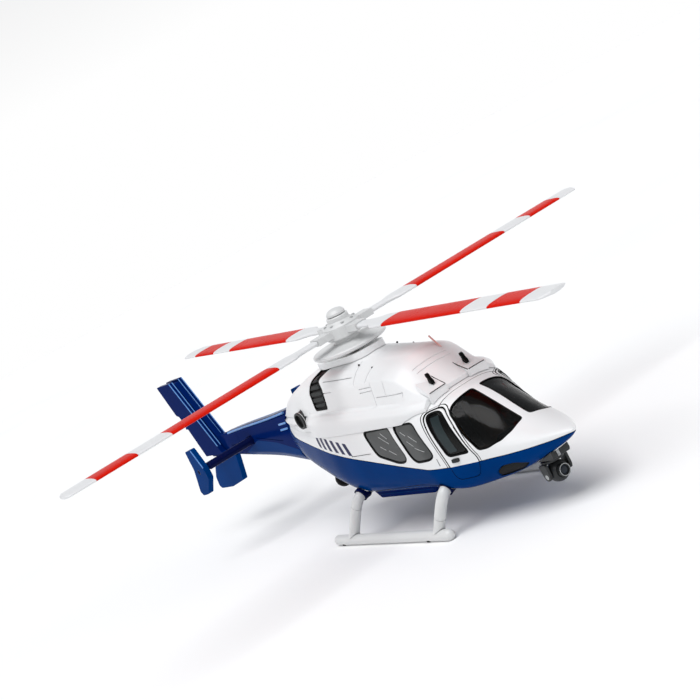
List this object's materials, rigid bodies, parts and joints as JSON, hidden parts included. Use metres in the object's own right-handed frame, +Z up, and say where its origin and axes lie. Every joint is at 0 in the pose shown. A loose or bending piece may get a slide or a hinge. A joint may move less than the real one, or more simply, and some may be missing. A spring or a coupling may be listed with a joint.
{
  "type": "toy helicopter",
  "caption": "Skid-equipped toy helicopter with a two-tone hull, cabin doors that open, a spinning main rotor and a small turret under the nose.",
  "frame": {"origin": "on the ground plane the skids rest on, below the middle of the overall box", "axes": "+X to the nose, +Y to port (the pilot's left), +Z up"},
  "size_m": [0.4122, 0.3114, 0.1116],
  "materials": {
    "white_shell": "smooth glossy moulding",
    "rotor_blade": "satin, white with red bands",
    "blue_hull": "smooth glossy moulding",
    "navy_bar": "satin",
    "black_trim": "satin black",
    "dark_fitting": "satin dark grey",
    "pale_fitting": "satin pale grey",
    "smoked_glazing": "polished, deeply smoked",
    "rose_whip": "satin",
    "tan_seat": "matt"
  },
  "bodies": {
    "airframe": {"cabin_shell": "white_shell", "engine_cowling": "white_shell", "roof_box_right": "white_shell", "roof_box_left": "white_shell", "mast_fairing": "white_shell", "hull_lower": "blue_hull", "tail_boom": "blue_hull", "endplate_right": "blue_hull", "endplate_left": "blue_hull", "fin_core": "blue_hull", "fin_plate_right": "blue_hull", "fin_plate_left": "blue_hull", "ventral_fin": "blue_hull", "keel_block": "blue_hull", "stabiliser": "navy_bar", "louvre_band": "black_trim", "roof_hook_right": "black_trim", "roof_hook_left": "black_trim", "nose_vent_right": "black_trim", "nose_vent_left": "black_trim", "belly_pod": "black_trim", "exhaust_right": "dark_fitting", "exhaust_left": "dark_fitting", "instrument_panel": "dark_fitting", "shaft_bush": "dark_fitting", "tail_gearbox": "dark_fitting", "camera_bracket": "dark_fitting", "skid_right": "pale_fitting", "skid_left": "pale_fitting", "front_strut_right": "pale_fitting", "front_strut_left": "pale_fitting", "rear_strut_right": "pale_fitting", "rear_strut_left": "pale_fitting", "windscreen_right": "smoked_glazing", "windscreen_left": "smoked_glazing", "cabin_glass_front_right": "smoked_glazing", "cabin_glass_front_left": "smoked_glazing", "cabin_glass_rear_right": "smoked_glazing", "cabin_glass_rear_left": "smoked_glazing", "whip_antenna": "rose_whip", "seat_right": "tan_seat", "seat_left": "tan_seat"},
    "right_door": {"door_right": "white_shell", "door_glass_right": "smoked_glazing", "door_handle_right": "pale_fitting"},
    "left_door": {"door_left": "white_shell", "door_glass_left": "smoked_glazing", "door_handle_left": "pale_fitting"},
    "main_rotor": {"rotor_hub": "pale_fitting", "rotor_cap": "pale_fitting", "rotor_blade_1": "rotor_blade", "rotor_blade_2": "rotor_blade", "rotor_blade_3": "rotor_blade", "rotor_blade_4": "rotor_blade"},
    "tail_rotor": {"tail_rotor": "black_trim"},
    "camera_yoke": {"camera_yoke": "dark_fitting"},
    "camera_ball": {"camera_ball": "dark_fitting", "camera_lens": "black_trim"}
  },
  "joints": [
    {"name": "main_rotor_spin", "type": "hinge", "parent": "airframe", "child": "main_rotor", "pos_m": [0.05101, 0, 0.0958], "axis": [0.0941, 0, 0.9956], "continuous": true},
    {"name": "tail_rotor_spin", "type": "hinge", "parent": "airframe", "child": "tail_rotor", "pos_m": [-0.18899, 0.0086, 0.0708], "axis": [0, 1, 0], "continuous": true},
    {"name": "door_right_hinge", "type": "hinge", "parent": "airframe", "child": "right_door", "pos_m": [0.14601, -0.0193, 0.0388], "axis": [0, 0, 1], "range_deg": [0, 65]},
    {"name": "door_left_hinge", "type": "hinge", "parent": "airframe", "child": "left_door", "pos_m": [0.14601, 0.0193, 0.0388], "axis": [0, 0, -1], "range_deg": [0, 65]},
    {"name": "camera_pan", "type": "hinge", "parent": "airframe", "child": "camera_yoke", "pos_m": [0.16551, 0, 0.0125], "axis": [0, 0, 1], "range_deg": [-120, 120]},
    {"name": "camera_tilt", "type": "hinge", "parent": "camera_yoke", "child": "camera_ball", "pos_m": [0.16551, 0, 0.0125], "axis": [0, 1, 0], "range_deg": [-20, 90]}
  ]
}
